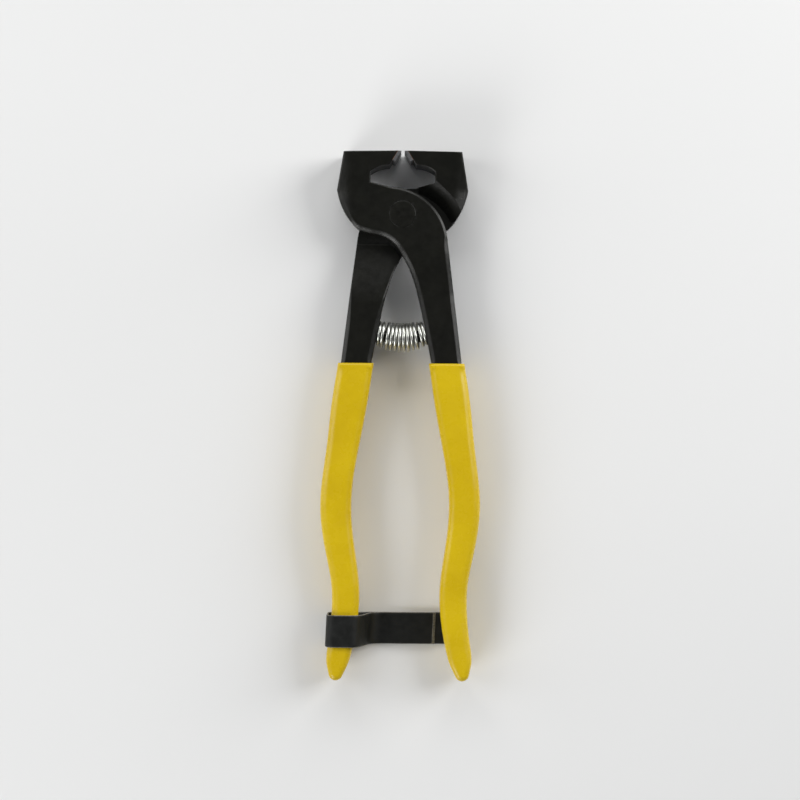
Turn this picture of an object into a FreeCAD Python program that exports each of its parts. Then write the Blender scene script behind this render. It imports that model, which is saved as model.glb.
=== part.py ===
import FreeCAD, Part
import math
import os

import Sketcher  # registers the sketch type

# Tile nippers, lying flat: +Y towards the jaws, +X to the right, +Z up along the pivot.
# The origin is on the pivot axis at the back face of the lap joint.
# Each half is drawn in its own frame: origin on the pivot axis, z = 0 on the plane where the
# two halves meet. The front half is the upper lap, the left jaw and the right handle.
# The rear half is the same shape turned half a turn about Y.

V = FreeCAD.Vector
doc = FreeCAD.newDocument("tile_nippers")

# ---------------------------------------------------------------- driving dimensions (mm)
SIZES = [
    ("joint_thickness", 14.0, "both laps together"),
    ("lap_gap", 0.1, "gap between the two laps"),
    ("jaw_width", 18.0, "jaws, along the pivot axis"),
    ("shoulder_drop", 1.0, "jaw face below the other half's lap face"),
    ("arm_thickness", 10.0, "forged arm and tang"),
    ("grip_thickness", 12.0, "vinyl grip"),
    ("grip_edge_radius", 2.2, "rounding along the grip"),
    ("rivet_radius", 4.0, "shank of the pivot rivet"),
    ("rivet_head_radius", 5.0, "flush countersunk head"),
    ("rivet_head_depth", 2.5, "depth of the countersink"),
    ("running_clearance", 0.05, "radial, rivet in the turning half"),
    ("shoulder_arc_radius", 22.2, "arc of the lap's shoulder"),
    ("shoulder_clearance", 0.35, "between lap and jaw recess, fully open"),
    ("open_angle", 15.0, "degrees the handles open from rest"),
    ("tip_gap", 1.2, "between the carbide edges at rest"),
    ("tip_height", 23.6, "jaw tops above the pivot"),
    ("tip_drop", 0.1, "carbide edge below the jaw tops"),
    ("tip_slope", 31.0, "degrees, cutting face from Y"),
    ("tip_length", 4.5, "carbide, along its face"),
    ("tip_thickness", 1.1, "carbide"),
    ("braze_thickness", 0.12, "braze layer under the carbide"),
    ("wire_radius", 0.55, "return spring wire"),
    ("spring_radius", 4.1, "return spring, to the wire's centre"),
    ("spring_length", 15.4, "between the end turns' centres"),
    ("spring_turns", 11, "turns of the return spring"),
    ("spring_y", -46.0, "spring axis from the pivot"),
    ("peg_radius", 2.2, "peg inside the end turns"),
    ("peg_length", 7.6, "peg, half of it in the arm"),
    ("peg_start", 5.2, "peg tip from the centre line"),
    ("peg_chamfer", 0.6, "nose of the peg"),
    ("strap_thickness", 0.8, "leather strap"),
    ("strap_width", 12.2, "leather strap, along the grip"),
    ("strap_clearance", 0.2, "strap to grip, all round"),
]
sheet = doc.addObject("Spreadsheet::Sheet", "Sizes")
for row, (alias, value, note) in enumerate(SIZES, start=1):
    sheet.set(f"A{row}", alias.replace("_", " "))
    sheet.set(f"B{row}", str(value))
    sheet.set(f"C{row}", note)
    sheet.setAlias(f"B{row}", alias)
doc.recompute()


def size(alias):
    return float(sheet.get(alias))


# ------------------------------------------------------------------------ outlines (mm)
# Seen from above, in the front half's frame.
MOUTH_SIDE_X = 12.3
NECK = (-16.8, -5.8)
GRIP_MOUTH_Y = -56.3
ARM_INNER = [NECK, (-11.8, -7.3), (-7.6, -8.2), (-4.4, -9.9), (-1.9, -12.3), (0.0, -15.4),
             (2.4, -19.8), (4.5, -25.2), (7.65, -37.4), (9.65, -47.2), (11.45, GRIP_MOUTH_Y)]
TANG_INNER = [ARM_INNER[-1], (13.8, -71.9), (16.75, -87.9), (19.5, -108.6), (18.4, -124.8),
              (16.15, -144.5), (17.3, -157.0)]
TANG_END = (21.4, -162.5)
TANG_OUTER = [(25.1, -157.0), (24.65, -149.6), (24.75, -141.3),
              (27.05, -128.4), (29.3, -110.8), (27.05, -87.9), (25.35, -71.9),
              (22.85, GRIP_MOUTH_Y)]
GRIP_OUTER = [(23.85, GRIP_MOUTH_Y), (26.3, -71.9), (28.0, -87.9), (30.25, -110.8),
              (28.0, -128.4), (25.7, -141.3), (25.6, -149.6), (26.9, -163.0), (27.15, -169.0),
              (26.2, -174.0)]
GRIP_END = (23.9, -176.4)
GRIP_INNER = [(21.3, -174.4), (19.4, -170.5), (17.4, -163.5), (15.9, -154.6), (15.2, -144.5),
              (17.45, -124.8), (18.55, -108.6), (15.8, -87.9), (12.85, -71.9),
              (10.55, GRIP_MOUTH_Y)]
ARM_DIRECTION = (5.8, -47.0)          # outer edge of the arm, towards the grip
ARM_INNER_RUN = (0.19, -0.98)         # directions in which the outlines pass the grip's mouth
TANG_INNER_RUN = (0.15, -0.99)
TANG_OUTER_RUN = (-0.12, 0.99)
SHOULDER_CENTRE = (-5.0, -12.0)
JAW_FOOT_Y = 9.0                      # above here the jaw widens towards its top
LAP_END_Y = -11.0                     # where the arm leaves the half thickness
ARM_FULL_Y = (-30.0, -32.0)           # where its outer and inner faces reach the arm's own
HORN_END_Y = -2.5                     # lower end of the jaw beside the other half's lap
RECESS_TAPER = 45                     # degrees, slope of the jaw down to the other half's lap
SEAT_RUN = 2.2                        # how far the seat's plane runs on below the carbide


def line(start, end):
    return Part.LineSegment(V(*start, 0), V(*end, 0))


def arc(start, middle, end):
    return Part.Arc(V(*start, 0), V(*middle, 0), V(*end, 0))


def curve(points, start_direction=None, end_direction=None):
    """One smooth curve through the points."""
    spline = Part.BSplineCurve()
    ends = {}
    if start_direction:
        ends["InitialTangent"] = V(*start_direction, 0)
    if end_direction:
        ends["FinalTangent"] = V(*end_direction, 0)
    spline.interpolate([V(x, y, 0) for x, y in points], **ends)
    return spline


def polygon(points):
    return [line(a, b) for a, b in zip(points, points[1:] + points[:1])]


def on_circle(centre, radius, angle):
    return (centre[0] + radius * math.cos(angle), centre[1] + radius * math.sin(angle))


def turned(point, degrees):
    angle = math.radians(degrees)
    x, y = point
    return (x * math.cos(angle) - y * math.sin(angle), x * math.sin(angle) + y * math.cos(angle))


def tip_corners():
    """Carbide tip of the left jaw: face top, face foot, back foot, back top, then the seat."""
    slope = math.radians(size("tip_slope"))
    down = V(-math.sin(slope), -math.cos(slope), 0)
    back = V(-math.cos(slope), math.sin(slope), 0)
    top = V(-size("tip_gap") / 2, size("tip_height") - size("tip_drop"), 0)
    foot = top + down * size("tip_length")

    def back_line(depth):
        low = foot + back * depth
        rise = (size("tip_height") - low.y) / -down.y
        return (low.x, low.y), (low.x - down.x * rise, size("tip_height"))

    tip_foot, tip_top = back_line(size("tip_thickness"))
    seat_foot, seat_top = back_line(size("tip_thickness") + size("braze_thickness"))
    return {"face_top": (top.x, top.y), "face_foot": (foot.x, foot.y), "tip_foot": tip_foot,
            "tip_top": tip_top, "seat_foot": seat_foot, "seat_top": seat_top}


TIP = tip_corners()


def shoulder_points():
    """Where the lap's shoulder arc leaves the arm, its middle, and where it meets the mouth."""
    radius = size("shoulder_arc_radius")
    along = math.atan2(ARM_DIRECTION[1], ARM_DIRECTION[0])
    start = on_circle(SHOULDER_CENTRE, radius, along + math.pi / 2)
    middle = on_circle(SHOULDER_CENTRE, radius, math.radians(48))
    return start, middle, (SHOULDER_CENTRE[0], SHOULDER_CENTRE[1] + radius)


def tang_edges():
    """Tang inside the grip, from the inner side of the grip's mouth round to the outer."""
    return [
        curve(TANG_INNER, TANG_INNER_RUN, None),
        arc(TANG_INNER[-1], TANG_END, TANG_OUTER[0]),
        curve(TANG_OUTER, None, TANG_OUTER_RUN),
    ]


def lever_plan():
    """Whole half: jaw, lap, arm and tang."""
    shoulder, shoulder_middle, floor = shoulder_points()
    jaw_corner = (-22.3, 23.3)
    jaw_side = (-24.8, 9.0)
    mouth_low = (-MOUTH_SIDE_X, 11.9)
    mouth_high = (-MOUTH_SIDE_X, 15.8)
    slope = math.radians(size("tip_slope"))
    roof_end = (TIP["seat_foot"][0] - SEAT_RUN * math.sin(slope),
                TIP["seat_foot"][1] - SEAT_RUN * math.cos(slope))
    return [
        line(TIP["seat_top"], jaw_corner),
        line(jaw_corner, jaw_side),
        arc(jaw_side, (-22.4, 1.6), NECK),
        curve(ARM_INNER, None, ARM_INNER_RUN),
        *tang_edges(),
        line(TANG_OUTER[-1], shoulder),
        arc(shoulder, shoulder_middle, floor),
        line(floor, mouth_low),
        line(mouth_low, mouth_high),
        arc(mouth_high, (-9.0, 17.7), roof_end),
        line(roof_end, TIP["seat_top"]),
    ]


def side_relief():
    """Cut away above and below, seen along X: (y, z) pairs."""
    lap = size("joint_thickness") / 2
    arm = size("arm_thickness") / 2
    jaw = size("jaw_width") / 2
    shoulder = lap - size("shoulder_drop")
    far = -185.0
    clear = jaw + 3
    tip = size("tip_height")
    upper = [(tip, clear), (tip, jaw), (JAW_FOOT_Y, lap), (-14, lap), (ARM_FULL_Y[0], arm),
             (far, arm), (far, clear)]
    lower = [(tip, -clear), (tip, -jaw), (JAW_FOOT_Y, -shoulder), (LAP_END_Y, -shoulder),
             (LAP_END_Y, 0), (ARM_FULL_Y[1], -arm), (far, -arm), (far, -clear)]
    return polygon(upper) + polygon(lower)


def lap_recess():
    """Room for the other half's lap, with the room it sweeps as the handles open."""
    centre = turned((-SHOULDER_CENTRE[0], SHOULDER_CENTRE[1]), -size("open_angle"))
    radius = size("shoulder_arc_radius") + size("shoulder_clearance")

    def wall(y):
        return (centre[0] - math.sqrt(radius ** 2 - (y - centre[1]) ** 2), y)

    mouth_x = -6.0
    mouth_y = centre[1] + math.sqrt(radius ** 2 - (mouth_x - centre[0]) ** 2)
    far = 32.0
    start = (mouth_x, mouth_y)
    end = wall(HORN_END_Y)
    return [
        arc(start, wall(5.0), end),
        line(end, (-far, HORN_END_Y)),
        line((-far, HORN_END_Y), (-far, -17.5)),
        line((-far, -17.5), (0.4, -17.5)),
        line((0.4, -17.5), (1.4, -15.4)),
        line((1.4, -15.4), (3.3, -12.3)),
        line((3.3, -12.3), (5.6, LAP_END_Y)),
        line((5.6, LAP_END_Y), (far, LAP_END_Y)),
        line((far, LAP_END_Y), (far, 14.0)),
        line((far, 14.0), (mouth_x, 14.0)),
        line((mouth_x, 14.0), start),
    ]


def recess_slope():
    """Patch along the recess wall, tapered outwards so that the jaw falls away to the lap."""
    wall = lap_recess()[0]
    start = (wall.StartPoint.x, wall.StartPoint.y)
    end = (wall.EndPoint.x, wall.EndPoint.y)
    inner = -5.0
    return [wall, line(end, (inner, end[1])), line((inner, end[1]), (inner, start[1])),
            line((inner, start[1]), start)]


def rivet_bore(clearance):
    """Half section (radius, z) of the rivet hole, with its countersink at the outer face."""
    shank = size("rivet_radius") + clearance
    head = size("rivet_head_radius") + clearance
    face = size("joint_thickness") / 2
    seat = face - size("rivet_head_depth")
    return polygon([(0, -2), (shank, -2), (shank, seat), (head, face), (head, face + 2),
                    (0, face + 2)])


# ------------------------------------------------------------------------ building blocks
def placed(front):
    """Frame of the front half, or of the rear half turned about Y."""
    turn = FreeCAD.Rotation(V(0, 1, 0), 0 if front else 180)
    return FreeCAD.Placement(V(0, 0, size("joint_thickness") / 2), turn)


def new_body(label, front):
    body = doc.addObject("PartDesign::Body", label)
    body.Label = label
    body.Placement = placed(front)
    body.setExpression("Placement.Base.z", "Sizes.joint_thickness / 2")
    return body


def new_sketch(body, name, role, edges, lift=None):
    plane = next(f for f in body.Origin.OriginFeatures if f.Role == role)
    sketch = body.newObject("Sketcher::SketchObject", f"{body.Label}_{name}")
    sketch.AttachmentSupport = [(plane, "")]
    sketch.MapMode = "FlatFace"
    if lift:
        sketch.setExpression("AttachmentOffset.Base.z", lift)
    for edge in edges:
        sketch.addGeometry(edge, False)
    doc.recompute()
    return sketch


def new_pad(body, sketch, length):
    pad = body.newObject("PartDesign::Pad", f"{sketch.Name}_pad")
    pad.Profile = sketch
    pad.Midplane = True
    pad.setExpression("Length", length)
    doc.recompute()
    return pad


def new_cut(body, kind, sketch, settings, lengths=()):
    """A Pocket or Groove that has to remove material."""
    before = body.Shape.Volume
    cut = body.newObject(kind, f"{sketch.Name}_cut")
    cut.Profile = sketch
    for name, value in settings.items():
        setattr(cut, name, value)
    for name, expression in lengths:
        cut.setExpression(name, expression)
    doc.recompute()
    if body.Shape.Volume > before - 0.01:
        raise RuntimeError(f"{cut.Name} removed nothing")
    return cut


def bored(body, clearance):
    sketch = new_sketch(body, "bore", "XZ_Plane", rivet_bore(clearance))
    axis = next(f for f in body.Origin.OriginFeatures if f.Role == "Z_Axis")
    new_cut(body, "PartDesign::Groove", sketch, {"ReferenceAxis": (axis, [""]), "Angle": 360})


def relieved(body):
    """Jaw, lap and arm thicknesses, cut from both faces."""
    side = new_sketch(body, "side", "YZ_Plane", side_relief())
    new_cut(body, "PartDesign::Pocket", side, {"Type": 1, "Midplane": True})


# -------------------------------------------------------------------------------- levers
def make_lever(label, front):
    """Forged half: jaw, half-thickness lap, arm and the tang inside the grip."""
    body = new_body(label, front)
    plan = new_sketch(body, "plan", "XY_Plane", lever_plan())
    new_pad(body, plan, "Sizes.jaw_width")
    relieved(body)
    lap = new_sketch(body, "lap", "XY_Plane", lap_recess(), "Sizes.lap_gap / 2")
    new_cut(body, "PartDesign::Pocket", lap, {}, [("Length", "Sizes.jaw_width")])
    slope = new_sketch(body, "slope", "XY_Plane", recess_slope(), "Sizes.lap_gap / 2")
    new_cut(body, "PartDesign::Pocket", slope, {"TaperAngle": RECESS_TAPER},
            [("Length", "Sizes.joint_thickness / 2")])
    bored(body, size("running_clearance") if front else 0.0)
    peg = new_sketch(body, "peg_hole", "YZ_Plane", [
        Part.Circle(V(size("spring_y"), 0, 0), V(0, 0, 1), size("peg_radius"))],
        "Sizes.peg_start")
    new_cut(body, "PartDesign::Pocket", peg, {"Reversed": True}, [("Length", "Sizes.peg_length")])
    return body


# ------------------------------------------------------------------------- carbide tips
def make_tip(label, front):
    """Tungsten carbide insert on the sloping cutting face."""
    body = new_body(label, front)
    corners = [TIP["face_top"], TIP["face_foot"], TIP["tip_foot"], TIP["tip_top"]]
    new_pad(body, new_sketch(body, "plan", "XY_Plane", polygon(corners)), "Sizes.jaw_width")
    relieved(body)
    return body


def make_braze(label, front):
    """Thin layer of braze between the carbide and its seat."""
    body = new_body(label, front)
    corners = [TIP["tip_foot"], TIP["seat_foot"], TIP["seat_top"], TIP["tip_top"]]
    new_pad(body, new_sketch(body, "plan", "XY_Plane", polygon(corners)), "Sizes.jaw_width")
    relieved(body)
    return body


# --------------------------------------------------------------------------- pivot rivet
def make_rivet(label):
    """Solid rivet with a flush countersunk head at each face of the joint."""
    body = new_body(label, True)
    shank = size("rivet_radius")
    head = size("rivet_head_radius")
    face = size("joint_thickness") / 2
    seat = face - size("rivet_head_depth")
    profile = polygon([(0, -face), (head, -face), (shank, -seat), (shank, seat), (head, face),
                       (0, face)])
    sketch = new_sketch(body, "profile", "XZ_Plane", profile)
    axis = next(f for f in body.Origin.OriginFeatures if f.Role == "Z_Axis")
    turn = body.newObject("PartDesign::Revolution", f"{label}_turned")
    turn.Profile = sketch
    turn.ReferenceAxis = (axis, [""])
    turn.Angle = 360
    doc.recompute()
    return body


# --------------------------------------------------------------------------- spring parts
def make_peg(label, front):
    """Round peg pressed into the arm; the spring's end turns sit over it."""
    body = new_body(label, front)
    circle = Part.Circle(V(size("spring_y"), 0, 0), V(0, 0, 1), size("peg_radius"))
    sketch = new_sketch(body, "round", "YZ_Plane", [circle], "Sizes.peg_start")
    pad = new_pad(body, sketch, "Sizes.peg_length")
    pad.Midplane = False
    doc.recompute()
    nose = [f"Edge{i}" for i, edge in enumerate(body.Shape.Edges, start=1)
            if edge.Closed and abs(edge.BoundBox.Center.x) < size("peg_start") + 0.5]
    chamfer = body.newObject("PartDesign::Chamfer", f"{label}_nose")
    chamfer.Base = (pad, nose)
    chamfer.setExpression("Size", "Sizes.peg_chamfer")
    doc.recompute()
    return body


def make_spring(label):
    """Open coil spring across the arms: a wire swept along a helix about X."""
    helix = doc.addObject("Part::Helix", "spring_helix")
    helix.setExpression("Pitch", "Sizes.spring_length / Sizes.spring_turns")
    helix.setExpression("Height", "Sizes.spring_length")
    helix.setExpression("Radius", "Sizes.spring_radius")
    wire = doc.addObject("Part::Circle", "spring_wire")
    wire.setExpression("Radius", "Sizes.wire_radius")
    wire.Placement = FreeCAD.Placement(V(size("spring_radius"), 0, 0),
                                       FreeCAD.Rotation(V(1, 0, 0), 90))
    sweep = doc.addObject("Part::Sweep", label)
    sweep.Label = label
    sweep.Sections = [wire]
    sweep.Spine = (helix, [])
    sweep.Solid = True
    sweep.Frenet = True
    middle = V(-size("spring_length") / 2, size("spring_y"), size("joint_thickness") / 2)
    sweep.Placement = FreeCAD.Placement(middle, FreeCAD.Rotation(V(0, 1, 0), 90))
    doc.recompute()
    return sweep


# --------------------------------------------------------------------------------- grips
def make_grip(label, front):
    """Dipped vinyl grip: a closed-end sleeve over the tang."""
    body = new_body(label, front)
    outline = [curve(GRIP_OUTER), arc(GRIP_OUTER[-1], GRIP_END, GRIP_INNER[0]),
               curve(GRIP_INNER), line(GRIP_INNER[-1], GRIP_OUTER[0])]
    pad = new_pad(body, new_sketch(body, "plan", "XY_Plane", outline), "Sizes.grip_thickness")

    def along_side(edge):
        box = edge.BoundBox
        return box.ZLength < 1e-6 and not (box.YLength < 1e-3 and box.YMax > GRIP_MOUTH_Y - 1)

    # the body's frame is only shifted or turned, so flat edges stay flat
    sides = [f"Edge{i}" for i, e in enumerate(body.Shape.Edges, start=1) if along_side(e)]
    fillet = body.newObject("PartDesign::Fillet", f"{label}_edges")
    fillet.Base = (pad, sides)
    fillet.setExpression("Radius", "Sizes.grip_edge_radius")
    doc.recompute()
    tang = new_sketch(body, "hollow", "XY_Plane",
                      tang_edges() + [line(TANG_OUTER[-1], TANG_INNER[0])])
    new_cut(body, "PartDesign::Pocket", tang, {"Midplane": True},
            [("Length", "Sizes.arm_thickness")])
    return body


# --------------------------------------------------------------------------------- strap
STRAP_LOW_Y = -163.7
STRAP_LEAN = 0.04                     # sideways run of the strap per mm along Y


def make_strap(label):
    """Flat loop of leather round the left grip; its two ends run together to the right,
    under the right grip. Drawn as an (x, z) section and swept obliquely along the grip."""
    thick = size("strap_thickness")
    gap = size("strap_clearance")
    half_grip = size("grip_thickness") / 2
    middle = size("joint_thickness") / 2
    left = -26.95 - gap               # grip's outer edge at the strap's lower end
    right = -15.6 + gap               # grip's inner edge at the strap's upper end
    low = middle - half_grip - gap
    high = middle + half_grip + gap
    round_in = 2.4
    floor_z = middle - size("jaw_width") / 2 + 0.1
    tail_end = 24.0
    ply_end = 13.8
    loop_foot = right + 4.0           # inside of the loop, at its lowest
    drop_top = right + 1.0            # underside, where it bends down off the grip
    drop_foot = right + 5.0           # underside, where it lies flat again
    join = right + 6.6                # upper side, where the upper ply lies flat
    fold = round_in * (1 - math.sqrt(0.5))
    out = round_in + thick
    out_fold = out * (1 - math.sqrt(0.5))
    inner = [
        arc((left, low + round_in), (left + fold, low + fold), (left + round_in, low)),
        line((left + round_in, low), (loop_foot, low)),
        line((loop_foot, low), (right, high - round_in)),
        arc((right, high - round_in), (right - fold, high - fold), (right - round_in, high)),
        line((right - round_in, high), (left + round_in, high)),
        arc((left + round_in, high), (left + fold, high - fold), (left, high - round_in)),
        line((left, high - round_in), (left, low + round_in)),
    ]
    ends = floor_z + 2 * thick
    outer = [
        arc((left - thick, low + round_in), (left - thick + out_fold, low - thick + out_fold),
            (left + round_in, low - thick)),
        line((left + round_in, low - thick), (drop_top, low - thick)),
        line((drop_top, low - thick), (drop_foot, floor_z)),
        line((drop_foot, floor_z), (tail_end, floor_z)),
        line((tail_end, floor_z), (tail_end, floor_z + thick)),
        line((tail_end, floor_z + thick), (ply_end, floor_z + thick)),
        line((ply_end, floor_z + thick), (ply_end, ends)),
        line((ply_end, ends), (join, ends)),
        line((join, ends), (right + thick, high - round_in)),
        arc((right + thick, high - round_in),
            (right + thick - out_fold, high + thick - out_fold), (right - round_in, high + thick)),
        line((right - round_in, high + thick), (left + round_in, high + thick)),
        arc((left + round_in, high + thick), (left - thick + out_fold, high + thick - out_fold),
            (left - thick, high - round_in)),
        line((left - thick, high - round_in), (left - thick, low + round_in)),
    ]
    wires = [Part.Wire([edge.toShape() for edge in loop]) for loop in (outer, inner)]
    section = Part.Face(wires[0]).cut(Part.Face(wires[1]))
    section.rotate(V(0, 0, 0), V(1, 0, 0), 90)
    width = size("strap_width")
    strap = doc.addObject("Part::Feature", label)
    strap.Label = label
    strap.Shape = section.extrude(V(STRAP_LEAN * width, width, 0))
    strap.Placement = FreeCAD.Placement(V(0, STRAP_LOW_Y, 0), FreeCAD.Rotation())
    return strap


# ------------------------------------------------------------------------------ assembly
nodes = []
for half, is_front in (("front", True), ("rear", False)):
    nodes.append(make_lever(f"{half}_lever", is_front))
    nodes.append(make_tip(f"{half}_carbide_tip", is_front))
    nodes.append(make_braze(f"{half}_tip_braze", is_front))
    nodes.append(make_peg(f"{half}_spring_peg", is_front))
    nodes.append(make_grip(f"{half}_grip", is_front))
nodes.append(make_rivet("pivot_rivet"))
nodes.append(make_spring("return_spring"))
nodes.append(make_strap("retaining_strap"))
doc.recompute()

for item in doc.Objects:
    if "Invalid" in item.State or "Error" in item.State:
        raise RuntimeError(f"{item.Name} failed: {item.State}")
for node in nodes:
    if node.Shape.isNull() or not node.Shape.isValid():
        raise RuntimeError(f"{node.Label} has no valid shape")

os.makedirs("parts", exist_ok=True)
for node in nodes:
    node.Shape.exportStep(f"parts/{node.Label}.step")
    print(f"{node.Label}: {node.Shape.Volume:.1f} mm3, {len(node.Shape.Solids)} solid")
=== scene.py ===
import math

import bpy
import numpy as np
from mathutils import Matrix, Vector
from mathutils.geometry import delaunay_2d_cdt


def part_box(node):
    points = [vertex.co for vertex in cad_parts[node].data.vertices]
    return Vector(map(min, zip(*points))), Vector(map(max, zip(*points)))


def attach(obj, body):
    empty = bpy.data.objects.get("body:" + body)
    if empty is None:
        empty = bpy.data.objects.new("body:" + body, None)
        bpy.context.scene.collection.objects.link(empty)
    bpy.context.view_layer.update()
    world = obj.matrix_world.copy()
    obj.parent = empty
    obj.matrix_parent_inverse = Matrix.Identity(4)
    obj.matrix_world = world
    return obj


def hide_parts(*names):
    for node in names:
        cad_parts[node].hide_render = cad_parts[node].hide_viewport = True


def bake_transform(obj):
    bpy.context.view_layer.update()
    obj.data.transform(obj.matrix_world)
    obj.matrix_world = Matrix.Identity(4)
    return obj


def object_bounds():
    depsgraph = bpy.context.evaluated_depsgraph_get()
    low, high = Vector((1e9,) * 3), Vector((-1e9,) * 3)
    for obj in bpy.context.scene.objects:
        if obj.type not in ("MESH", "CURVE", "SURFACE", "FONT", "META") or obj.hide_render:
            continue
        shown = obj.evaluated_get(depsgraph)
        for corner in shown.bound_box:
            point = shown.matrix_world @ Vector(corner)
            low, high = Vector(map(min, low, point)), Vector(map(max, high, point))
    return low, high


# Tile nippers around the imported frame. Shapes are drawn in millimetres and scaled by MM when
# their meshes are made. Each half of the tool is drawn in its own frame, with its origin on
# the pivot axis and z = 0 where the two halves meet, then placed by half_matrix().

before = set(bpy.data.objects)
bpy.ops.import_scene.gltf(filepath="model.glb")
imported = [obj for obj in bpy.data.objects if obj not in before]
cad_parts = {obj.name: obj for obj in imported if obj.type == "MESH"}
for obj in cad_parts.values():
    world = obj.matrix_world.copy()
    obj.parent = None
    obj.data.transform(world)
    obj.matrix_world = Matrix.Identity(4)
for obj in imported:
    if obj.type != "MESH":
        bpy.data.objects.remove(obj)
cad_low, cad_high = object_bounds()

MM = 0.001
JOINT = (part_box("pivot_rivet")[1].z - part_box("pivot_rivet")[0].z) / MM
MID = JOINT / 2
LAP = JOINT / 2
JAW = (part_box("front_lever")[1].z / MM) - MID
ARM = 5.0
SHOULDER = LAP - 1.0
GRIP = (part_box("front_grip")[1].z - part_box("front_grip")[0].z) / MM / 2
LAP_GAP = 0.1
RIVET_SHANK = 4.0
RIVET_HEAD = 5.0
RIVET_SEAT = LAP - 2.5                # foot of the countersink
BORE_GAP = 0.1                        # between the rivet and its bore


# ------------------------------------------------------------------------- curves (mm)
def unit(vectors):
    return vectors / np.maximum(np.linalg.norm(vectors, axis=-1, keepdims=True), 1e-9)


def smooth(points, step=0.8, start=None, end=None):
    """Points along one cubic spline through the given ones, about a step apart."""
    p = np.array(points, float)
    chord = np.linalg.norm(np.diff(p, axis=0), axis=1)
    along = np.concatenate([[0.0], np.cumsum(chord)])
    count = len(p)
    matrix = np.zeros((count, count))
    right = np.zeros(p.shape)
    for i in range(1, count - 1):
        h0, h1 = chord[i - 1], chord[i]
        matrix[i, i - 1:i + 2] = h1, 2 * (h0 + h1), h0
        right[i] = 3 * (h1 * (p[i] - p[i - 1]) / h0 + h0 * (p[i + 1] - p[i]) / h1)
    for row, side, inner, given in ((0, 0, 1, start), (count - 1, count - 2, count - 2, end)):
        if given is None:
            matrix[row, row] = 2
            matrix[row, inner] = 1
            right[row] = 3 * (p[side + 1] - p[side]) / chord[side]
        else:
            matrix[row, row] = 1
            right[row] = unit(np.array(given, float))
    slopes = np.linalg.solve(matrix, right)
    places = np.linspace(0, along[-1], max(2, int(math.ceil(along[-1] / step))) + 1)
    segment = np.clip(np.searchsorted(along, places, side="right") - 1, 0, count - 2)
    h = chord[segment][:, None]
    t = ((places - along[segment])[:, None]) / h
    return ((2 * t ** 3 - 3 * t ** 2 + 1) * p[segment]
            + (t ** 3 - 2 * t ** 2 + t) * h * slopes[segment]
            + (3 * t ** 2 - 2 * t ** 3) * p[segment + 1]
            + (t ** 3 - t ** 2) * h * slopes[segment + 1])


def straight(a, b, step=0.8):
    a, b = np.array(a, float), np.array(b, float)
    count = max(1, int(math.ceil(np.linalg.norm(b - a) / step)))
    return a + (b - a) * np.linspace(0, 1, count + 1)[:, None]


def arc(a, m, b, step=0.6):
    """Points along the circle through three points."""
    (ax, ay), (mx, my), (bx, by) = a, m, b
    d = 2 * (ax * (my - by) + mx * (by - ay) + bx * (ay - my))
    ux = ((ax ** 2 + ay ** 2) * (my - by) + (mx ** 2 + my ** 2) * (by - ay)
          + (bx ** 2 + by ** 2) * (ay - my)) / d
    uy = ((ax ** 2 + ay ** 2) * (bx - mx) + (mx ** 2 + my ** 2) * (ax - bx)
          + (bx ** 2 + by ** 2) * (mx - ax)) / d
    radius = math.hypot(ax - ux, ay - uy)
    first = math.atan2(ay - uy, ax - ux)
    turns = [math.atan2(y - uy, x - ux) - first for x, y in ((mx, my), (bx, by))]
    if d > 0:
        turns = [angle % math.tau for angle in turns]
    else:
        turns = [-((-angle) % math.tau) for angle in turns]
    count = max(4, int(math.ceil(abs(turns[1]) * radius / step)))
    angles = first + turns[1] * np.linspace(0, 1, count + 1)
    return np.stack([ux + radius * np.cos(angles), uy + radius * np.sin(angles)], axis=1)


def ease(t):
    t = np.clip(t, 0, 1)
    return t * t * (3 - 2 * t)


def closed(stretches, blur=5):
    """One closed loop from (points, edge width) stretches, with the widths eased together."""
    loop = np.concatenate([points[:-1] for points, width in stretches])
    widths = np.concatenate([np.full(len(points) - 1, width) for points, width in stretches])
    for _ in range(blur):
        widths = (np.roll(widths, 1) + 2 * widths + np.roll(widths, -1)) / 4
    return loop, widths


def inset(loop, distance):
    """The anticlockwise loop moved inwards by a distance per point."""
    back = unit(loop - np.roll(loop, 1, axis=0))
    ahead = unit(np.roll(loop, -1, axis=0) - loop)
    n0 = np.stack([-back[:, 1], back[:, 0]], axis=1)
    n1 = np.stack([-ahead[:, 1], ahead[:, 0]], axis=1)
    share = np.maximum(1 + np.sum(n0 * n1, axis=1, keepdims=True), 0.6)
    return loop + (n0 + n1) / share * np.reshape(distance, (-1, 1))


# ---------------------------------------------------------------------------- mesh tools
def mesh_object(name, verts, faces, edge=None, sharp=35):
    """A mesh object from millimetre points, smooth except across sharp angles."""
    mesh = bpy.data.meshes.new(name)
    mesh.from_pydata([tuple(c * MM for c in v) for v in verts], [], faces)
    mesh.validate()
    if edge is not None:
        layer = mesh.attributes.new("edge", "FLOAT", "POINT")
        layer.data.foreach_set("value", np.asarray(edge, dtype=np.float32))
    obj = bpy.data.objects.new(name, mesh)
    bpy.context.scene.collection.objects.link(obj)
    finish_shading(obj, sharp)
    return obj


def finish_shading(obj, sharp):
    obj.data.shade_smooth()
    obj.data.set_sharp_from_angle(angle=math.radians(sharp))


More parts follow.
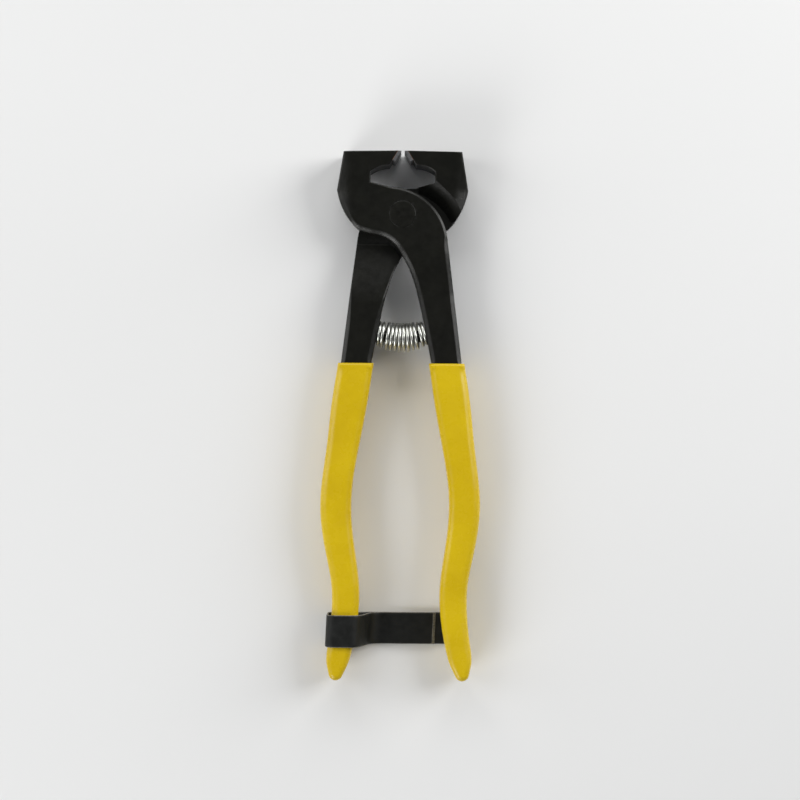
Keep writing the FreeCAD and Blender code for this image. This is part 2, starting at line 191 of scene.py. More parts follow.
def slab(name, loop, widths, top, bottom, profile, slope, grid=1.6, sharp=28):
    """A plate with shaped faces. widths holds the edge widths of its top and of its bottom;
    profile holds (share of the edge width, share of the fall) pairs from the rim inwards;
    slope is the edge's fall over its width."""
    count = len(loop)
    ring_edges = [(i, (i + 1) % count) for i in range(count)]
    verts, edge, faces, starts = [], [], [], []
    for face, sign, width in ((top, -1, widths[0]), (bottom, 1, widths[1])):
        starts.append(len(verts))
        for share, fall in profile:
            ring = inset(loop, width * share)
            z = face(ring[:, 0], ring[:, 1]) + sign * width * slope * fall
            verts += list(np.column_stack([ring, z]))
            edge += [1.0 if share < 0.9 else 0.0] * count
        found = []
        for level in range(len(profile) - 1):
            first = starts[-1] + level * count
            found += [(first + i, first + j, first + count + j, first + count + i)
                      for i, j in ring_edges]
        triangles, middle = fill(ring, ring_edges, grid)
        place = list(range(len(verts) - count, len(verts) + len(middle)))
        verts += list(np.column_stack([middle, face(middle[:, 0], middle[:, 1])]))
        edge += [0.0] * len(middle)
        found += [tuple(place[i] for i in triangle) for triangle in triangles]
        faces += found if sign < 0 else [f[::-1] for f in found]
    low = starts[1]
    faces += [(low + i, low + j, j, i) for i, j in ring_edges]
    return mesh_object(name, verts, faces, edge, sharp)


def fill(rim, rim_edges, grid):
    """Triangles over a rim, and the points inside it that they use after the rim's own."""
    flat = [Vector(p) for p in np.concatenate([rim, inside_points(rim, grid)])]
    points, _, found, sources, _, _ = delaunay_2d_cdt(flat, rim_edges, [], 0, 1e-6, True)
    middle, place = [], []
    for point, source in zip(points, sources):
        if source and min(source) < len(rim):
            place.append(min(source))
        else:
            place.append(len(rim) + len(middle))
            middle.append(tuple(point))
    centres = np.array([sum((points[i] for i in t), Vector((0, 0))) / 3 for t in found])
    kept = [t for t, inside in zip(found, is_inside(rim, centres)) if inside]
    return [[place[i] for i in t] for t in kept], np.array(middle)


def is_inside(loop, points):
    """Which of the points lie inside the loop."""
    ahead = np.roll(loop, -1, axis=0)
    inside = np.zeros(len(points), bool)
    for (ax, ay), (bx, by) in zip(loop, ahead):
        if ay == by:
            continue
        spans = (ay > points[:, 1]) != (by > points[:, 1])
        cut = ax + (points[:, 1] - ay) / (by - ay) * (bx - ax)
        inside ^= spans & (points[:, 0] < cut)
    return inside


def inside_points(loop, grid):
    """Grid points inside a loop and well clear of it."""
    low, high = loop.min(axis=0), loop.max(axis=0)
    xs = np.arange(low[0] + grid / 2, high[0], grid)
    ys = np.arange(low[1] + grid / 2, high[1], grid)
    points = np.array([(x, y) for y in ys for x in xs])
    points = points[is_inside(loop, points)]
    gaps = np.array([np.min(np.hypot(*(loop - p).T)) for p in points])
    return points[gaps > grid * 0.45]


def prism(name, loop, low, high):
    """A straight cutter between two heights."""
    count = len(loop)
    verts = [(x, y, low) for x, y in loop] + [(x, y, high) for x, y in loop]
    faces = [tuple(range(count))[::-1], tuple(range(count, 2 * count))]
    faces += [(i, (i + 1) % count, count + (i + 1) % count, count + i) for i in range(count)]
    return mesh_object(name, verts, faces)


def turned(name, profile, around=96):
    """A solid of (radius, height) points turned about the pivot axis."""
    verts = [(0, 0, profile[0][1])]
    for radius, height in profile:
        for k in range(around):
            angle = math.tau * k / around
            verts.append((radius * math.cos(angle), radius * math.sin(angle), height))
    verts.append((0, 0, profile[-1][1]))
    last = len(verts) - 1
    faces = []
    for k in range(around):
        n = (k + 1) % around
        faces.append((0, 1 + n, 1 + k))
        for level in range(len(profile) - 1):
            a = 1 + level * around
            b = a + around
            faces.append((a + k, a + n, b + n, b + k))
        end = 1 + (len(profile) - 1) * around
        faces.append((end + k, end + n, last))
    return mesh_object(name, verts, faces)


def carve(obj, *cutters, sharp=28):
    """Cuts the cutters out of obj and removes them."""
    for cutter in cutters:
        cut = obj.modifiers.new(cutter.name, "BOOLEAN")
        cut.operation = "DIFFERENCE"
        cut.solver = "EXACT"
        cut.object = cutter
    graph = bpy.context.evaluated_depsgraph_get()
    mesh = bpy.data.meshes.new_from_object(obj.evaluated_get(graph))
    obj.modifiers.clear()
    old = obj.data
    obj.data = mesh
    mesh.name = obj.name
    bpy.data.meshes.remove(old)
    for cutter in cutters:
        bpy.data.objects.remove(cutter)
    finish_shading(obj, sharp)
    return obj


def half_matrix(front):
    turn = Matrix.Identity(4) if front else Matrix.Rotation(math.pi, 4, "Y")
    return Matrix.Translation((0, 0, MID * MM)) @ turn


def settle(obj, front):
    """Moves a half's mesh from its own frame into the tool's."""
    obj.data.transform(half_matrix(front))
    return obj


# ------------------------------------------------------------------------ outlines (mm)
NECK = (-16.8, -5.8)
MOUTH_X = 12.3
GRIP_TOP = -56.3
ARM_INNER = [NECK, (-11.8, -7.3), (-7.6, -8.2), (-4.4, -9.9), (-1.9, -12.3), (0.0, -15.4),
             (2.4, -19.8), (4.5, -25.2), (7.65, -37.4), (9.65, -47.2), (11.45, GRIP_TOP)]
TANG_INNER = [ARM_INNER[-1], (13.8, -71.9), (16.75, -87.9), (19.5, -108.6), (18.4, -124.8),
              (16.15, -144.5), (17.3, -157.0)]
TANG_END = (21.4, -162.5)
TANG_OUTER = [(25.1, -157.0), (24.65, -149.6), (24.75, -141.3),
              (27.05, -128.4), (29.3, -110.8), (27.05, -87.9), (25.35, -71.9),
              (22.85, GRIP_TOP)]
GRIP_OUTER = [(23.85, GRIP_TOP), (26.3, -71.9), (28.0, -87.9), (30.25, -110.8),
              (28.0, -128.4), (25.7, -141.3), (25.6, -149.6), (26.95, -163.0), (27.5, -168.6),
              (26.6, -173.8)]
GRIP_END = (24.0, -176.4)
GRIP_INNER = [(21.3, -174.4), (19.4, -170.5), (17.4, -163.5), (15.9, -154.6), (15.2, -144.5),
              (17.45, -124.8), (18.55, -108.6), (15.8, -87.9), (12.85, -71.9),
              (10.55, GRIP_TOP)]
SHOULDER_CENTRE = (-5.0, -12.0)
SHOULDER_RADIUS = 22.2
SHOULDER_CLEARANCE = 0.35
OPEN_ANGLE = 15.0
TIP_TOP = 23.6
TIP_SLOPE = math.radians(31)
TIP_GAP = 1.2
TIP_LENGTH = 4.5
TIP_THICKNESS = 1.1
BRAZE = 0.12
SEAT_RUN = 2.2
JAW_FOOT = 9.0
LAP_END = -11.0
ARM_FULL = (-30.0, -32.0)
HORN_END = -2.5


def polar(centre, radius, angle):
    return (centre[0] + radius * math.cos(angle), centre[1] + radius * math.sin(angle))


def tip_line(depth):
    """Foot and top of a line parallel to the cutting face, a depth behind it."""
    down = np.array([-math.sin(TIP_SLOPE), -math.cos(TIP_SLOPE)])
    back = np.array([-math.cos(TIP_SLOPE), math.sin(TIP_SLOPE)])
    foot = np.array([-TIP_GAP / 2, TIP_TOP - 0.1]) + down * TIP_LENGTH + back * depth
    top = foot + down * (TIP_TOP - foot[1]) / down[1]
    return tuple(foot), tuple(top)


def lever_loop():
    """Outline of a half with the width of its bevel along each stretch."""
    along = math.atan2(-47.0, 5.8)                # the arm's outer edge, down from the shoulder
    shoulder = polar(SHOULDER_CENTRE, SHOULDER_RADIUS, along + math.pi / 2)
    middle = polar(SHOULDER_CENTRE, SHOULDER_RADIUS, math.radians(48))
    floor = (SHOULDER_CENTRE[0], SHOULDER_CENTRE[1] + SHOULDER_RADIUS)
    seat_foot, seat_top = tip_line(TIP_THICKNESS + BRAZE)
    corner = (-22.3, 23.3)
    side = (-24.8, 9.0)
    roof_end = (seat_foot[0] - SEAT_RUN * math.sin(TIP_SLOPE),
                seat_foot[1] - SEAT_RUN * math.cos(TIP_SLOPE))
    return closed([
        (straight(seat_top, corner, 1.0), 0.25),
        (straight(corner, side, 1.0), 0.5),
        (arc(side, (-22.4, 1.6), NECK), 1.3),
        (smooth(ARM_INNER, 0.7, None, (0.19, -0.98)), 1.7),
        (smooth(TANG_INNER, 1.5, (0.15, -0.99)), 1.2),
        (arc(TANG_INNER[-1], TANG_END, TANG_OUTER[0]), 1.2),
        (smooth(TANG_OUTER, 1.5, None, (-0.12, 0.99)), 1.2),
        (straight(TANG_OUTER[-1], shoulder, 1.0), 1.6),
        (arc(shoulder, middle, floor, 0.5), 0.9),
        (straight(floor, (-MOUTH_X, 11.9)), 0.4),
        (straight((-MOUTH_X, 11.9), (-MOUTH_X, 15.8)), 0.3),
        (arc((-MOUTH_X, 15.8), (-9.0, 17.7), roof_end), 0.3),
        (straight(roof_end, seat_foot, 0.5), 0.12),
        (straight(seat_foot, seat_top, 0.5), 0.05),
    ])


def facet(x, y):
    """Fall of the drafted strip along the jaw's outer side."""
    start = -19.2 - 1.1 * np.clip(y / 17, 0, 1.4)
    return np.maximum(start - x, 0) * 0.3 * ease((y + 5) / 6)


def rise(y, low, high):
    """0 below low, 1 above high, straight between with softened ends."""
    t = np.clip((y - low) / (high - low), 0, 1)
    return 0.8 * t + 0.2 * ease(t)


def lever_top(x, y):
    z = LAP + (JAW - LAP) * rise(y, JAW_FOOT, TIP_TOP)
    z = z - (LAP - ARM) * rise(-y, 14, -ARM_FULL[0])
    return z - facet(x, y)


def lever_bottom(x, y):
    ramp = 0.05 + (ARM - 0.05) * rise(-y, -LAP_END, -ARM_FULL[1])
    root = 0.05 + (SHOULDER - 0.05) * rise(y, LAP_END, -3)
    jaw = root + (JAW - SHOULDER) * rise(y, JAW_FOOT, TIP_TOP)
    return -(np.where(y > LAP_END, jaw, ramp) - facet(x, y))


def recess_wall():
    """Centre and radius of the wall round the other half's lap, where it stands fully open."""
    turn = math.radians(-OPEN_ANGLE)
    x, y = -SHOULDER_CENTRE[0], SHOULDER_CENTRE[1]
    centre = (x * math.cos(turn) - y * math.sin(turn), x * math.sin(turn) + y * math.cos(turn))
    return centre, SHOULDER_RADIUS + SHOULDER_CLEARANCE


def lap_recess_loop():
    """Room for the other half's lap over the whole travel."""
    centre, radius = recess_wall()

    def wall(height):
        return (centre[0] - math.sqrt(radius ** 2 - (height - centre[1]) ** 2), height)

    mouth = -6.0
    start = (mouth, centre[1] + math.sqrt(radius ** 2 - (mouth - centre[0]) ** 2))
    curve = arc(start, wall(5.0), wall(HORN_END))
    far = 34.0
    rest = [(-far, HORN_END), (-far, -17.5), (0.4, -17.5), (1.4, -15.4), (3.3, -12.3),
            (5.6, LAP_END), (far, LAP_END), (far, 14.0), (mouth, 14.0)]
    return np.concatenate([curve, np.array(rest)])


def recess_slope():
    """Cutter that leans the recess wall back, so the jaw falls away to the other lap."""
    centre, radius = recess_wall()
    first = math.acos((-6.0 - centre[0]) / radius)
    last = math.pi - math.asin((HORN_END - 1 - centre[1]) / (radius + LAP))
    angles = np.linspace(first, last, 90)
    rings = []
    for z, grow in ((LAP_GAP / 2, 0.0), (-LAP, LAP)):
        wall = np.column_stack([centre[0] + (radius + grow) * np.cos(angles),
                                centre[1] + (radius + grow) * np.sin(angles)])
        core = np.array([(-5.0, wall[-1][1]), (-5.0, wall[0][1])])
        rings.append([(x, y, z) for x, y in np.concatenate([wall, core])])
    count = len(rings[0])
    faces = [tuple(range(count)), tuple(range(count, 2 * count))[::-1]]
    faces += [(i, count + i, count + (i + 1) % count, (i + 1) % count) for i in range(count)]
    return mesh_object("recess_slope", rings[0] + rings[1], faces)


# ------------------------------------------------------------------------------ materials
class Nodes:
    """Short names for building a material's node tree."""

    def __init__(self, name):
        self.material = bpy.data.materials.new(name)
        self.material.use_nodes = True
        self.tree = self.material.node_tree
        self.tree.nodes.clear()
        self.shader = self.add("ShaderNodeBsdfPrincipled")
        output = self.add("ShaderNodeOutputMaterial")
        self.join(self.shader.outputs["BSDF"], output.inputs["Surface"])
        self.place = self.add("ShaderNodeTexCoord").outputs["Object"]

    def add(self, kind, **settings):
        node = self.tree.nodes.new(kind)
        for key, value in settings.items():
            setattr(node, key, value)
        return node

    def join(self, source, target):
        self.tree.links.new(source, target)

    def stretched(self, scale):
        mapping = self.add("ShaderNodeMapping")
        mapping.inputs["Scale"].default_value = scale
        self.join(self.place, mapping.inputs["Vector"])
        return mapping.outputs["Vector"]

    def noise(self, scale, detail=4.0, rough=0.55, vector=None):
        node = self.add("ShaderNodeTexNoise")
        node.inputs["Scale"].default_value = scale
        node.inputs["Detail"].default_value = detail
        node.inputs["Roughness"].default_value = rough
        self.join(vector or self.place, node.inputs["Vector"])
        return node.outputs["Fac"]

    def cells(self, scale, vector):
        node = self.add("ShaderNodeTexVoronoi")
        node.inputs["Scale"].default_value = scale
        self.join(vector, node.inputs["Vector"])
        return node.outputs["Distance"]

    def ramp(self, source, low, high, a=0.3, b=0.7):
        """Maps a factor to colours or greys between two stops."""
        node = self.add("ShaderNodeValToRGB")
        node.color_ramp.elements[0].position = a
        node.color_ramp.elements[1].position = b
        node.color_ramp.elements[0].color = low if isinstance(low, tuple) else (low,) * 3 + (1,)
        node.color_ramp.elements[1].color = (high if isinstance(high, tuple)
                                             else (high,) * 3 + (1,))
        self.join(source, node.inputs["Fac"])
        return node.outputs["Color"]

    def math(self, operation, a, b):
        node = self.add("ShaderNodeMath", operation=operation)
        for socket, value in zip(node.inputs, (a, b)):
            if isinstance(value, (int, float)):
                socket.default_value = value
            else:
                self.join(value, socket)
        return node.outputs["Value"]

    def mix(self, factor, a, b):
        node = self.add("ShaderNodeMix", data_type="RGBA")
        self.join(factor, node.inputs[0])
        for socket, value in ((node.inputs[6], a), (node.inputs[7], b)):
            if isinstance(value, tuple):
                socket.default_value = value
            else:
                self.join(value, socket)
        return node.outputs[2]

    def edge(self):
        node = self.add("ShaderNodeAttribute", attribute_name="edge")
        return node.outputs["Fac"]

    def bump(self, *layers):
        """Chains (height, strength, distance in metres) layers into the shader's normal."""
        normal = None
        for height, strength, distance in layers:
            node = self.add("ShaderNodeBump")
            node.inputs["Strength"].default_value = strength
            node.inputs["Distance"].default_value = distance
            self.join(height, node.inputs["Height"])
            if normal:
                self.join(normal, node.inputs["Normal"])
            normal = node.outputs["Normal"]
        self.join(normal, self.shader.inputs["Normal"])

    def colour(self, source):
        self.join(source, self.shader.inputs["Base Color"])

    def rough(self, source):
        self.join(source, self.shader.inputs["Roughness"])

    def set(self, **values):
        for key, value in values.items():
            self.shader.inputs[key.replace("_", " ")].default_value = value


def forged_steel():
    """Black oxide over forged and ground steel, rubbed a little brighter along its edges."""
    n = Nodes("forged_steel")
    patches = n.noise(140, 5, 0.6)
    base = n.ramp(patches, (0.0056, 0.0056, 0.0040, 1), (0.0100, 0.0100, 0.0072, 1), 0.3, 0.75)
    rubbed = n.math("MULTIPLY", n.edge(), n.ramp(n.noise(900, 3), 0.25, 0.9, 0.35, 0.65))
    n.colour(n.mix(rubbed, base, (0.022, 0.022, 0.020, 1)))
    n.rough(n.ramp(n.noise(420, 6, 0.65), 0.27, 0.40, 0.3, 0.7))
    n.set(Metallic=0.2, Specular_IOR_Level=0.34)
    n.bump((n.noise(160, 3), 0.35, 0.00030), (n.noise(1500, 4), 0.35, 0.00006))
    return n.material


def rivet_steel():
    """Black oxide over a faced rivet, with fine turned rings."""
    n = Nodes("rivet_steel")
    base = n.ramp(n.noise(300, 4), (0.0056, 0.0056, 0.0040, 1), (0.0100, 0.0100, 0.0072, 1))
    n.colour(base)
    n.rough(n.ramp(n.noise(600, 4), 0.27, 0.40))
    n.set(Metallic=0.2, Specular_IOR_Level=0.34)
    rings = n.add("ShaderNodeTexWave", wave_type="RINGS", rings_direction="Z")
    rings.inputs["Scale"].default_value = 900
    rings.inputs["Distortion"].default_value = 1.5
    n.join(n.place, rings.inputs["Vector"])
    n.bump((rings.outputs["Fac"], 0.08, 0.00001), (n.noise(1200, 4), 0.25, 0.00005))
    return n.material


def carbide():
    """Ground tungsten carbide: dull grey with fine grinding lines along the edge."""
    n = Nodes("carbide")
    lines = n.noise(1.0, 3, 0.6, n.stretched((5000, 5000, 300)))
    n.colour(n.ramp(n.noise(700, 4), (0.21, 0.21, 0.215, 1), (0.34, 0.34, 0.335, 1)))
    n.rough(n.ramp(lines, 0.28, 0.46))
    n.set(Metallic=0.85)
    n.bump((lines, 0.25, 0.00003))
    return n.material


def braze():
    n = Nodes("braze")
    n.colour(n.ramp(n.noise(1500, 4), (0.10, 0.035, 0.018, 1), (0.32, 0.16, 0.07, 1)))
    n.rough(n.ramp(n.noise(1100, 4), 0.35, 0.6))
    n.set(Metallic=0.8)
    n.bump((n.noise(1800, 3), 0.4, 0.00005))
    return n.material


def spring_steel():
    """Bright drawn wire with faint die marks."""
    n = Nodes("spring_steel")
    n.colour(n.ramp(n.noise(500, 3), (0.50, 0.505, 0.47, 1), (0.68, 0.69, 0.64, 1)))
    n.rough(n.ramp(n.noise(1700, 4), 0.24, 0.38))
    n.set(Metallic=1.0)
    n.bump((n.noise(2600, 3), 0.15, 0.00002))
    return n.material


def grip_vinyl():
    """Yellow dipped vinyl: soft gloss, slight orange peel and shallow flow marks."""
    n = Nodes("grip_vinyl")
    tone = n.noise(45, 4, 0.6)
    n.colour(n.ramp(tone, (0.58, 0.395, 0.0025, 1), (0.67, 0.475, 0.0060, 1), 0.3, 0.7))
    n.rough(n.ramp(n.noise(260, 5, 0.6), 0.22, 0.34))
    n.set(Specular_IOR_Level=0.42)
    n.bump((n.noise(60, 2), 0.20, 0.00025), (n.noise(700, 2), 0.10, 0.00002))
    return n.material


def strap_leather():
    """Black grained leather with a paler cut edge."""
    n = Nodes("strap_leather")
    grain = n.cells(1500, n.stretched((1.0, 1.25, 1.0)))
    creases = n.noise(380, 5, 0.65)
    base = n.ramp(creases, (0.0045, 0.0050, 0.0042, 1), (0.0095, 0.0102, 0.0090, 1))
    fibres = n.math("MULTIPLY", n.edge(), n.ramp(n.noise(2200, 4), 0.2, 1.0, 0.35, 0.7))
    n.colour(n.mix(fibres, base, (0.34, 0.33, 0.30, 1)))
    n.rough(n.ramp(creases, 0.42, 0.60))
    n.set(Specular_IOR_Level=0.28)
    n.bump((grain, 0.35, 0.00008), (creases, 0.3, 0.00012))
    return n.material


def pale_floor():
    n = Nodes("floor_paint")
    n.colour(n.ramp(n.noise(3, 2), (0.80, 0.80, 0.79, 1), (0.83, 0.83, 0.82, 1)))
    n.set(Roughness=0.6)
    return n.material


STEEL = forged_steel()
RIVET = rivet_steel()
CARBIDE = carbide()
BRAZE_METAL = braze()
WIRE = spring_steel()
VINYL = grip_vinyl()
LEATHER = strap_leather()


def finish_piece(obj, material, body, node):
    obj.data.materials.clear()
    obj.data.materials.append(material)
    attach(obj, body)
    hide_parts(node)
    return obj


def repaint(node, material):
    """A CAD node that keeps its shape takes a detailed material."""
    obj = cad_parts[node]
    obj.data.materials.clear()
    obj.data.materials.append(material)


# -------------------------------------------------------------------------------- levers
BEVEL = [(0.0, 1.0), (0.07, 0.86), (0.5, 0.42), (0.9, 0.07), (1.0, 0.015), (1.15, 0.0)]
BEVEL_SLOPE = 0.62


def under_bevel(y):
    """Share of the bevel's width on the lap side: hardly any beside the lap."""
    return 0.2 + 0.8 * np.maximum(ease((-24 - y) / 20), ease((y - 2) / 8))


def lever(half, front):
    loop, widths = lever_loop()
    under = widths * under_bevel(loop[:, 1])
    obj = slab(f"{half}_half_forging", loop, (widths, under), lever_top, lever_bottom, BEVEL,
               BEVEL_SLOPE)
    recess = prism("lap_recess", lap_recess_loop(), -JAW - 3, LAP_GAP / 2)
    shank, head = RIVET_SHANK + BORE_GAP, RIVET_HEAD + BORE_GAP
    bore = turned("rivet_bore", [(shank, -2), (shank, RIVET_SEAT), (head, LAP), (head, LAP + 2)])
    carve(obj, recess, recess_slope(), bore)
    settle(obj, front)
    return finish_piece(obj, STEEL, f"{half}_half", f"{half}_lever")


# --------------------------------------------------------------------------------- grips
SOFT = [(0.0, 1.0), (0.03, 0.80), (0.10, 0.60), (0.25, 0.36), (0.5, 0.16), (0.75, 0.05),
        (1.0, 0.0)]
SOFT_SLOPE = 1.0


def lip(y):
    """Rolled rim at the grip's mouth."""
    return 0.14 * np.exp(-((y - (GRIP_TOP - 0.8)) / 0.7) ** 2)


def grip_loop():
    loop, widths = closed([
        (smooth(GRIP_OUTER, 1.2)[::-1], 2.9),
        (straight(GRIP_OUTER[0], GRIP_INNER[-1], 0.8), 0.9),
        (smooth(GRIP_INNER, 1.2)[::-1], 2.6),
        (arc(GRIP_INNER[0], GRIP_END, GRIP_OUTER[-1]), 2.9),
    ], blur=3)
    swell = -lip(loop[:, 1])
    widths = np.minimum(widths, 2.1 + 0.8 * ease((loop[:, 1] + 173) / 12))
    return inset(loop, swell), widths


def tang_loop():
    above = 4.0
    inner, outer = TANG_INNER[0], TANG_OUTER[-1]
    high_inner = (inner[0] - 0.19 * above, inner[1] + above)
    high_outer = (outer[0] - 0.12 * above, outer[1] + above)
    return closed([
        (straight(high_inner, inner), 1.6),
        (smooth(TANG_INNER, 1.5, (0.15, -0.99)), 1.2),
        (arc(TANG_INNER[-1], TANG_END, TANG_OUTER[0]), 1.2),
        (smooth(TANG_OUTER, 1.5, None, (-0.12, 0.99)), 1.2),
        (straight(outer, high_outer), 1.6),
        (straight(high_outer, high_inner), 0.2),
    ])


def grip(half, front):
    loop, widths = grip_loop()
    obj = slab(f"{half}_vinyl_grip", loop, (widths, widths),
               lambda x, y: GRIP + lip(y), lambda x, y: -GRIP - lip(y), SOFT, SOFT_SLOPE, sharp=50)
    loop, widths = tang_loop()
    hollow = slab("hollow", loop, (widths, widths), lambda x, y: ARM + 0 * y,
                  lambda x, y: -ARM + 0 * y, BEVEL, BEVEL_SLOPE)
    carve(obj, hollow, sharp=50)
    settle(obj, front)
    return finish_piece(obj, VINYL, f"{half}_half", f"{half}_grip")


# -------------------------------------------------------------------------------- spring
WIRE_RADIUS = 0.57
SPRING_Y = -44.8
SPRING_BOW = 1.6
SPRING_HALF = 8.45                    # to the outermost passes over the top
SPRING_STEPS = [1.25, 2.05] + [1.5] * 7 + [2.05, 1.25]
END_STEP = 1.15
END_RADIUS = 4.05
MIDDLE_RADIUS = 5.0
FAN = math.radians(12)
LEAN = math.radians(4)


def spring_path(per_turn=44):
    """Centre line: two closed turns, a wider step, eight working turns, and the same again."""
    passes = np.concatenate([[0.0], np.cumsum(SPRING_STEPS)])
    passes = (passes / passes[-1] * 2 - 1) * SPRING_HALF
    last = len(SPRING_STEPS)
    knots = np.concatenate([[-0.5], np.arange(last + 1), [last + 0.5]])
    reach = np.concatenate([[passes[0] - END_STEP / 2], passes, [passes[-1] + END_STEP / 2]])
    turns = np.linspace(-0.42, last + 0.42, (last + 1) * per_turn)
    x = np.interp(turns, knots, reach)
    for _ in range(3 * per_turn):
        x[1:-1] = (x[:-2] + 2 * x[1:-1] + x[2:]) / 4
    place = np.clip(x / SPRING_HALF, -1, 1)
    radius = END_RADIUS + (MIDDLE_RADIUS - END_RADIUS) * (1 - np.abs(place) ** 3.2)
    tilt = FAN * np.sin(place * math.pi / 2) - LEAN * (1 - place ** 2)
    centre_y = SPRING_Y - SPRING_BOW * (1 - place ** 2)
    angle = math.tau * turns + math.pi / 2
    across = radius * np.cos(angle)
    return np.column_stack([x - across * np.sin(tilt), centre_y + across * np.cos(tilt),
                            MID + radius * np.sin(angle)])


def tube(name, path, radius, sides=12):
    """A round wire along a path, with slightly rounded cut ends."""
    tangent = unit(np.gradient(path, axis=0))
    normal = unit(np.cross(tangent[0], (1.0, 0.3, 0.1)))
    verts, faces = [], []
    count = len(path)
    for i in range(count):
        normal = unit(normal - tangent[i] * np.dot(normal, tangent[i]))
        other = np.cross(tangent[i], normal)
        size = radius * (0.8 if i in (0, count - 1) else 1.0)
        for k in range(sides):
            angle = math.tau * k / sides
            verts.append(path[i] + size * (math.cos(angle) * normal + math.sin(angle) * other))
        if i:
            base = (i - 1) * sides
            for k in range(sides):
                n = (k + 1) % sides
                faces.append((base + k, base + n, base + sides + n, base + sides + k))
    faces.append(tuple(range(sides))[::-1])
    last = (count - 1) * sides
    faces.append(tuple(range(last, last + sides)))
    return mesh_object(name, verts, faces, sharp=50)


def spring():
    obj = tube("coil_spring", spring_path(), WIRE_RADIUS)
    obj.data.materials.append(WIRE)
    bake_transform(obj)
    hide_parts("return_spring")
    return obj


# --------------------------------------------------------------------------------- strap
STRAP_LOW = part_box("retaining_strap")[0].z / MM
STRAP_Y = (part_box("retaining_strap")[0].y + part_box("retaining_strap")[1].y) / 2 / MM
STRAP_WIDTH = 12.1
STRAP_THICK = 0.78
STRAP_LEAN = 0.04
PLY_END = 13.8
TAIL_END = 24.0
SKIVED = 0.8                          # slant of the front ply's cut end


def strap_path():
    """Middle of the leather as (x, z), from the cut end of the front ply to the tail."""
    first = STRAP_LOW + 1.5 * STRAP_THICK + 0.04
    under = STRAP_LOW + 0.5 * STRAP_THICK
    left = -27.3
    return smooth([(PLY_END, first), (5, first + 0.05), (-4, first), (-8.2, first + 0.15),
                   (-10.6, first + 1.5), (-12.6, 5.2), (-14.9, 11.0), (-16.6, 13.2),
                   (-18.6, 13.75), (-22, 13.7), (-25.2, 13.55), (-26.6, 12.9), (left, 11.2),
                   (left - 0.1, 7.0), (left, 2.8), (-26.6, 1.0), (-25.2, 0.42), (-20, 0.3),
                   (-16.0, 0.1), (-13.0, under + 0.7), (-9.5, under + 0.05), (-4, under),
                   (8, under), (16, under), (TAIL_END, under)], 0.6)


def strap():
    path = np.delete(strap_path(), 1, axis=0)     # one long first step, so the cut end is clean
    tangent = unit(np.gradient(path, axis=0))
    normal = np.column_stack([-tangent[:, 1], tangent[:, 0]])
    half_w, half_t = STRAP_WIDTH / 2, STRAP_THICK / 2
    across = [-half_w + 0.3, -half_w + 0.9, -3.6, -1.2, 1.2, 3.6, half_w - 0.9, half_w - 0.3]
    section = [(u, half_t * (0.97 if abs(u) > half_w - 0.5 else 1.0)) for u in across]
    section += [(half_w, half_t * 0.45), (half_w, -half_t * 0.45)]
    section += [(u, -t) for u, t in section[:8]][::-1]
    section += [(-half_w, -half_t * 0.45), (-half_w, half_t * 0.45)]
    verts, faces, edge = [], [], []
    size = len(section)
    for i, ((x, z), n) in enumerate(zip(path, normal)):
        for u, t in section:
            skive = SKIVED * (0.5 - t / STRAP_THICK) if i == 0 else 0.0
            verts.append((x + n[0] * t + STRAP_LEAN * u - skive, STRAP_Y + u, z + n[1] * t))
            edge.append(1.0 if abs(u) >= half_w - 0.01 or i in (0, len(path) - 1) else 0.0)
        if i:
            base = (i - 1) * size
            for k in range(size):
                m = (k + 1) % size
                faces.append((base + k, base + size + k, base + size + m, base + m))
    faces.append(tuple(range(size)))
    last = (len(path) - 1) * size
    faces.append(tuple(range(last, last + size))[::-1])
    obj = mesh_object("leather_strap", verts, faces, edge, sharp=40)
    return finish_piece(obj, LEATHER, "strap", "retaining_strap")


# -------------------------------------------------------------------------------- rivet
def rivet():
    """Countersunk rivet, its two faces slightly dished where it was set."""
    rim = [(1.2, -0.06), (2.6, -0.05), (3.8, -0.03), (4.7, -0.01), (4.9, -0.04),
           (RIVET_HEAD, -0.12)]
    profile = [(radius, -LAP - fall) for radius, fall in rim]
    profile += [(RIVET_SHANK, -RIVET_SEAT), (RIVET_SHANK, RIVET_SEAT)]
    profile += [(radius, LAP + fall) for radius, fall in rim[::-1]]
    obj = turned("set_rivet", profile)
    settle(obj, True)
    return finish_piece(obj, RIVET, "rear_half", "pivot_rivet")


# -------------------------------------------------------------------------------- pieces
for half, is_front in (("front", True), ("rear", False)):
    lever(half, is_front)
    grip(half, is_front)
    repaint(f"{half}_carbide_tip", CARBIDE)
    repaint(f"{half}_tip_braze", BRAZE_METAL)
    repaint(f"{half}_spring_peg", RIVET)
rivet()
spring()
strap()


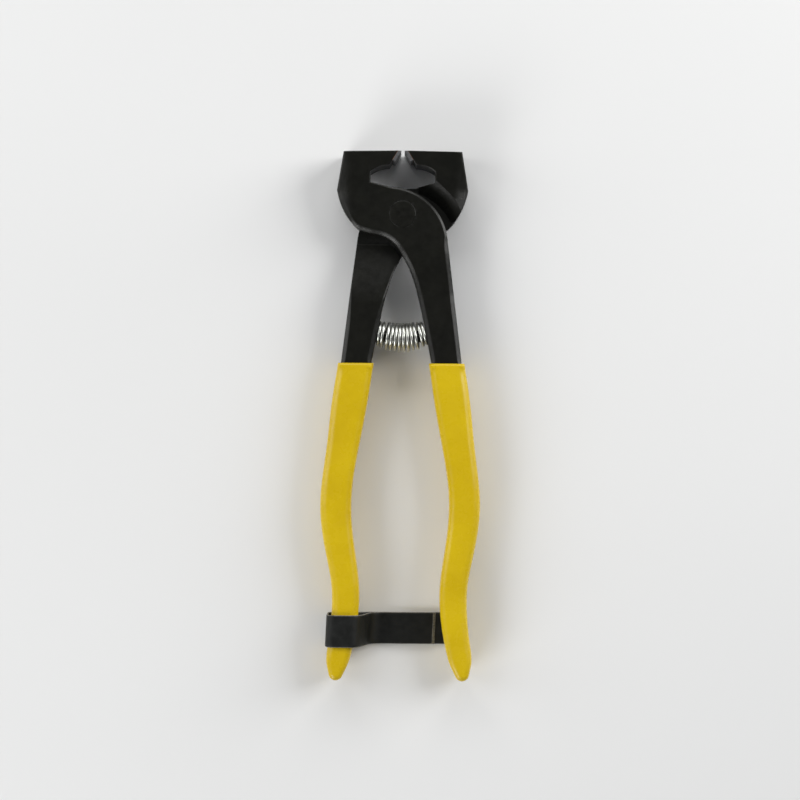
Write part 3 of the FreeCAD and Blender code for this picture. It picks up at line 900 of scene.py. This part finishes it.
# --------------------------------------------------------------------------------- stage
def floor():
    mesh = bpy.data.meshes.new("floor")
    reach = 3.0
    z = cad_low.z - 0.0002
    mesh.from_pydata([(-reach, -reach, z), (reach, -reach, z), (reach, reach, z),
                      (-reach, reach, z)], [], [(0, 1, 2, 3)])
    obj = bpy.data.objects.new("floor", mesh)
    bpy.context.scene.collection.objects.link(obj)
    mesh.materials.append(pale_floor())


def area_light(name, at, aim, size, power):
    light = bpy.data.lights.new(name, "AREA")
    light.shape = "RECTANGLE"
    light.size, light.size_y = size
    light.energy = power
    obj = bpy.data.objects.new(name, light)
    obj.location = at
    direction = Vector(aim) - Vector(at)
    obj.rotation_euler = direction.to_track_quat("-Z", "Y").to_euler()
    bpy.context.scene.collection.objects.link(obj)


def studio():
    world = bpy.data.worlds.new("studio")
    world.use_nodes = True
    world.node_tree.nodes["Background"].inputs["Color"].default_value = (0.9, 0.93, 1.0, 1)
    world.node_tree.nodes["Background"].inputs["Strength"].default_value = 0.13
    bpy.context.scene.world = world
    middle = (0, -0.08, 0)
    area_light("right_box", (0.90, 0.35, 0.50), middle, (0.6, 1.0), 10.5)
    area_light("left_box", (-0.98, 0.15, 0.52), middle, (0.6, 1.0), 4.5)
    area_light("head_box", (-0.1, 0.95, 0.60), middle, (1.2, 0.5), 7)
    area_light("foot_box", (-0.65, -0.85, 0.50), middle, (0.7, 0.5), 6.5)


CAMERA_HEIGHT = 0.80
VIEW_WIDTH = 0.30286
REFERENCE_Z = 0.010
SENSOR = 36.0


def camera():
    data = bpy.data.cameras.new("camera")
    data.sensor_width = SENSOR
    data.lens = SENSOR * CAMERA_HEIGHT / VIEW_WIDTH
    obj = bpy.data.objects.new("camera", data)
    obj.location = (-0.00037, -0.07016, REFERENCE_Z + CAMERA_HEIGHT)
    obj.rotation_euler = (0, 0, math.radians(0.47))
    bpy.context.scene.collection.objects.link(obj)
    bpy.context.scene.camera = obj


floor()
studio()
camera()
bpy.context.scene.view_settings.view_transform = "Standard"
